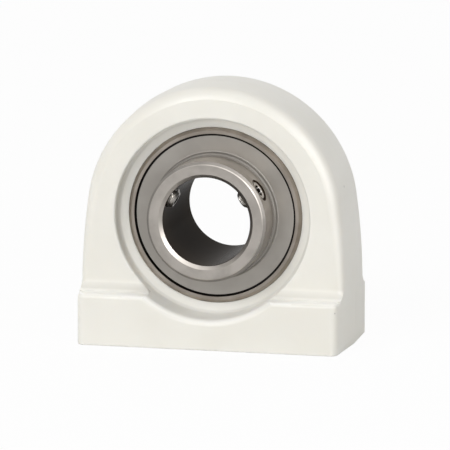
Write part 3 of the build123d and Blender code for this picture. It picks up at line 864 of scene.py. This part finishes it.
# %% The profile of an insert
INSERT_COLUMNS = 96
INSERT_PITCH = 1.5 * MM
INSERT_CUT = 0.75 * MM
INSERT_RADIUS = extent("threaded_insert_left").x / 2
INSERT_LENGTH = extent("threaded_insert_left").z
THREAD_LENGTH = 13.0 * MM
DRILLED_LENGTH = THREAD_LENGTH + 0.3 * MM
DRILL_POINT = THREAD_LENGTH + 2.6 * MM
MOUTH_CHAMFER = 0.8 * MM
KNURL_DEPTH = 0.16 * MM
KNURL_START = 0.5 * MM
GROOVE_START = 6.8 * MM
GROOVE_END = 9.7 * MM
GROOVE_DEPTH = 1.0 * MM
FOOT_CHAMFER = 0.3 * MM
FOOT_EASING = 0.12 * MM       # the height at which the chamfer ends
HEAD_TAPER = 0.9 * MM
HEAD_START = INSERT_LENGTH - 1.0 * MM


def knurl(angle, height):
    """The outside: every second column is in a groove of the knurl."""
    tooth = round(angle / tau * INSERT_COLUMNS) % 2
    return INSERT_RADIUS - KNURL_DEPTH * tooth


def insert_bore(angle, height):
    """The inside thread: its crest is the tapping size, its root is deeper in the steel."""
    cut = INSERT_CUT * (1 - below_crest(angle, height, INSERT_PITCH))
    faded = min(1.0, max(0.0, (THREAD_LENGTH - height) / INSERT_PITCH))
    mouth = TAP_RADIUS + MOUTH_CHAMFER - height
    return max(TAP_RADIUS + cut * faded, mouth)


def insert_rings():
    """From the drill's point, down the thread, and up the outside."""
    shape = [
        (CLOSING_RADIUS, DRILL_POINT),
        (TAP_RADIUS, DRILLED_LENGTH),
    ]
    shape += [(insert_bore, height) for height in reversed(levels(0, THREAD_LENGTH, INSERT_PITCH))]
    shape += [
        (INSERT_RADIUS - FOOT_CHAMFER, 0),
        (INSERT_RADIUS - KNURL_DEPTH, FOOT_EASING),
        (knurl, KNURL_START),
        (knurl, GROOVE_START),
        (INSERT_RADIUS - GROOVE_DEPTH, GROOVE_START),
        (INSERT_RADIUS - GROOVE_DEPTH, GROOVE_END),
        (knurl, GROOVE_END),
        (knurl, HEAD_START),
        (INSERT_RADIUS - HEAD_TAPER, INSERT_LENGTH),
        (CLOSING_RADIUS, INSERT_LENGTH),
    ]
    return [ring(radius, height, INSERT_COLUMNS) for radius, height in shape]


for side in SIDES:
    node = f"threaded_insert_{side}"
    low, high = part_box(node)
    place = Matrix.Translation(((low.x + high.x) / 2, (low.y + high.y) / 2, low.z))
    seat(f"knurled_{node}", skin(insert_rings()), place, INSERT_STEEL, "housing", node)

# %% [markdown]
# ## A table to stand on
# A white part on a white ground needs a shadow, or it floats. The floor is pale paper, and to the camera it
# also glows almost white, by a mix with an emission that only camera rays see. More light would whiten it
# too, but it would bleach the part as well. The mix leaves a little of the paper, and so the shadow stays.

# %% Floor
FLOOR_SIZE = 6.0
FLOOR_CELLS = 4
FIBRES_PER_METRE = 30
PAPER_ROUGHNESS = 0.6
PAPER_COLOURS = (0.86, 0.86, 0.86, 1), (0.88, 0.88, 0.88, 1)
WHITE = (1, 1, 1, 1)
GLOW_SHARE = 0.95


def floor_finish():
    finish = Finish("pale_floor", Roughness=PAPER_ROUGHNESS)
    fibres = finish.noise(finish.place, FIBRES_PER_METRE, detail=3)
    material = finish.put(Base_Color=finish.mix(fibres, *PAPER_COLOURS))
    camera_ray = finish.node("LightPath", output="Is Camera Ray")
    glow = finish.node("Emission", {}, {"Color": WHITE, "Strength": 1.0})
    lit = Wire(finish, finish.surface.outputs[0])
    shown = finish.node("MixShader", {}, {0: camera_ray * GLOW_SHARE, 1: lit, 2: glow})
    finish.feed(finish.tree.nodes["Material Output"].inputs["Surface"], shown)
    return material


body = bmesh.new()
bmesh.ops.create_grid(body, x_segments=FLOOR_CELLS, y_segments=FLOOR_CELLS, size=FLOOR_SIZE / 2)
mesh = bpy.data.meshes.new("floor")
body.to_mesh(mesh)
body.free()
mesh.materials.append(floor_finish())
floor = bpy.data.objects.new("floor", mesh)
bpy.context.scene.collection.objects.link(floor)
print(f"floor: {FLOOR_SIZE} m wide")

# %% [markdown]
# ## The room round it
# The world is what fills the shadows and what steel mirrors. One even grey would do for the plastic, but a
# ground ring in an even room looks like grey paint. So the room is even for diffuse light only, and mirrors
# see more in it: dim in front, bright behind, and a long window over the table and to its right that draws
# the bright lines on the steel's edges. The camera sees white behind the table.

# %% World
FILL_LIGHT = 0.54
ROOM_LIGHT = 0.30             # what mirrors see in front
BACKDROP = (-0.55, 0.35)      # the room brightens toward the back between these levels
BACKDROP_LEAN = 0.6
WINDOW_LIGHT = 1.5
WINDOW_FORWARD = 0.22         # how far in front of the table the window stands
WINDOW_SIDE = (0.12, 0.4)     # it fades out at its long sides between these
WINDOW_END = (0.35, 0.8)      # and at its end between these
WINDOW_LEAN = (0.65, 0.7)     # to the right and upward


def room_in_mirrors(tree):
    """What a mirror sees in each direction."""
    direction = tree.node("TexCoord", output="Generated")
    to_the_right, toward_back, above = tree.split(direction)
    backdrop = (toward_back + above * BACKDROP_LEAN).between(*BACKDROP)
    across_window = (toward_back + WINDOW_FORWARD).size().between(*WINDOW_SIDE)
    along_window = to_the_right * WINDOW_LEAN[0] + above * WINDOW_LEAN[1]
    window = along_window.between(*WINDOW_END) * (1 - across_window)
    return ROOM_LIGHT + (1 - ROOM_LIGHT) * backdrop + WINDOW_LIGHT * window


def studio_world():
    world = bpy.data.worlds.new("studio")
    world.use_nodes = True
    bpy.context.scene.world = world
    tree = Tree(world.node_tree)
    camera_ray = tree.node("LightPath", output="Is Camera Ray")
    glossy_ray = tree.node("LightPath", output="Is Glossy Ray")
    through_ray = tree.node("LightPath", output="Is Transmission Ray")
    mirrored = glossy_ray.larger(through_ray)
    level = FILL_LIGHT * (1 - mirrored) + room_in_mirrors(tree) * mirrored
    level = level * (1 - camera_ray) + camera_ray
    shade = world.node_tree.nodes["Background"]
    tree.feed(shade.inputs["Color"], WHITE)
    tree.feed(shade.inputs["Strength"], level)
    print("world:", len(world.node_tree.nodes), "nodes")


studio_world()

# %% [markdown]
# ## Lamps
# The shape of a white part shows only by shading, so one side has to be lighter. A large soft lamp in
# front, above and to the left gives the faces their brightness, and a small one on the right puts a glint on
# the rounded ridge. A third is for mirrors alone: it lays a soft reflection on steel and on the edges of
# the plastic, and adds no light that would flatten the shading.

# %% Lamps
MIDDLE = Vector((0, 0, SHAFT_HEIGHT))


def soft_lamp(name, place, size, power, only_mirrored=False):
    """A round lamp aimed at the middle of the part."""
    lamp = bpy.data.lights.new(name, "AREA")
    lamp.shape = "DISK"
    lamp.size = size
    lamp.energy = power
    holder = bpy.data.objects.new(name, lamp)
    holder.matrix_world = pointing(Vector(place) - MIDDLE, Vector(place))
    holder.visible_diffuse = not only_mirrored
    bpy.context.scene.collection.objects.link(holder)
    print(f"{name}: {power} W, {size} m across")


soft_lamp("front_lamp", (-0.48, -1.20, 0.80), 0.9, 9.9)
soft_lamp("window_lamp", (0.70, -0.30, 0.60), 0.25, 0.5)
soft_lamp("edge_lamp", (0.62, -0.72, 0.38), 1.0, 8.0, only_mirrored=True)

# %% [markdown]
# ## The view transform
# Nothing that was added sticks out of the box round the solids. The picture is shown through Blender's
# Standard view transform.

# %% The view transform
bpy.context.scene.view_settings.view_transform = "Standard"
